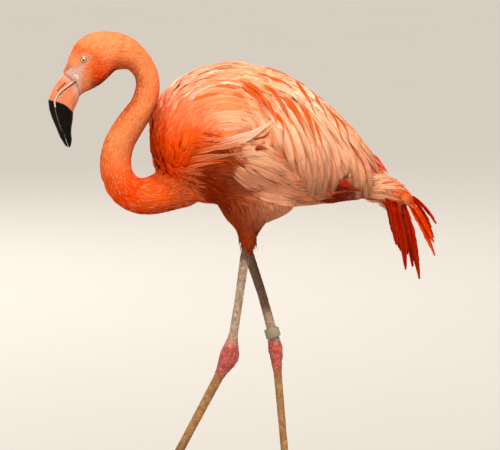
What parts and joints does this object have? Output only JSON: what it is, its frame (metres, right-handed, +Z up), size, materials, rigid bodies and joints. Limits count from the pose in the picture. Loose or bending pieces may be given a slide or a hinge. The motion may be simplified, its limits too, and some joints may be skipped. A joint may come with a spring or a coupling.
{
  "type": "flamingo",
  "caption": "Life-size standing flamingo in mid stride, neck in an S and bill pointing down, with a plain leg band; a still museum-style animal model.",
  "frame": {"origin": "on the floor, under the middle of the whole bird's box", "axes": "+Z up; the bird faces -X; its left side is towards -Y"},
  "size_m": [0.579, 0.1686, 0.725],
  "materials": {
    "coat": "matte coat of overlapping contour feathers, orange with paler tips",
    "pale_coat": "matte long plumes, pale peach with orange stripes",
    "red_coat": "matte tail feathers, dark red",
    "bill_horn": "smooth horn, pale pink at the base and glossy black towards the tip",
    "eye": "wet and glossy, pale yellow iris round a dark pupil",
    "leg_skin": "dull scaly skin, yellow grey",
    "joint_skin": "dull scaly skin, rose red",
    "claw_horn": "satin dark horn",
    "band": "plain dull grey band"
  },
  "bodies": {
    "root": {"trunk": "coat", "tail": "coat", "neck_lower": "coat", "neck_middle": "coat", "neck_upper": "coat", "head": "coat", "left_wing": "coat", "right_wing": "coat", "left_thigh": "coat", "right_thigh": "coat", "left_wing_plumes": "pale_coat", "right_wing_plumes": "pale_coat", "tail_feather_1": "red_coat", "tail_feather_2": "red_coat", "tail_feather_3": "red_coat", "tail_feather_4": "red_coat", "tail_feather_5": "red_coat", "tail_feather_6": "red_coat", "tail_feather_7": "red_coat", "upper_bill": "bill_horn", "lower_bill": "bill_horn", "left_eye": "eye", "right_eye": "eye", "left_shank": "leg_skin", "left_tarsus": "leg_skin", "left_foot": "leg_skin", "left_hind_toe": "leg_skin", "right_shank": "leg_skin", "right_tarsus": "leg_skin", "right_foot": "leg_skin", "right_hind_toe": "leg_skin", "left_ankle": "joint_skin", "right_ankle": "joint_skin", "left_claw_1": "claw_horn", "left_claw_2": "claw_horn", "left_claw_3": "claw_horn", "right_claw_1": "claw_horn", "right_claw_2": "claw_horn", "right_claw_3": "claw_horn", "leg_band": "band"}
  },
  "joints": []
}
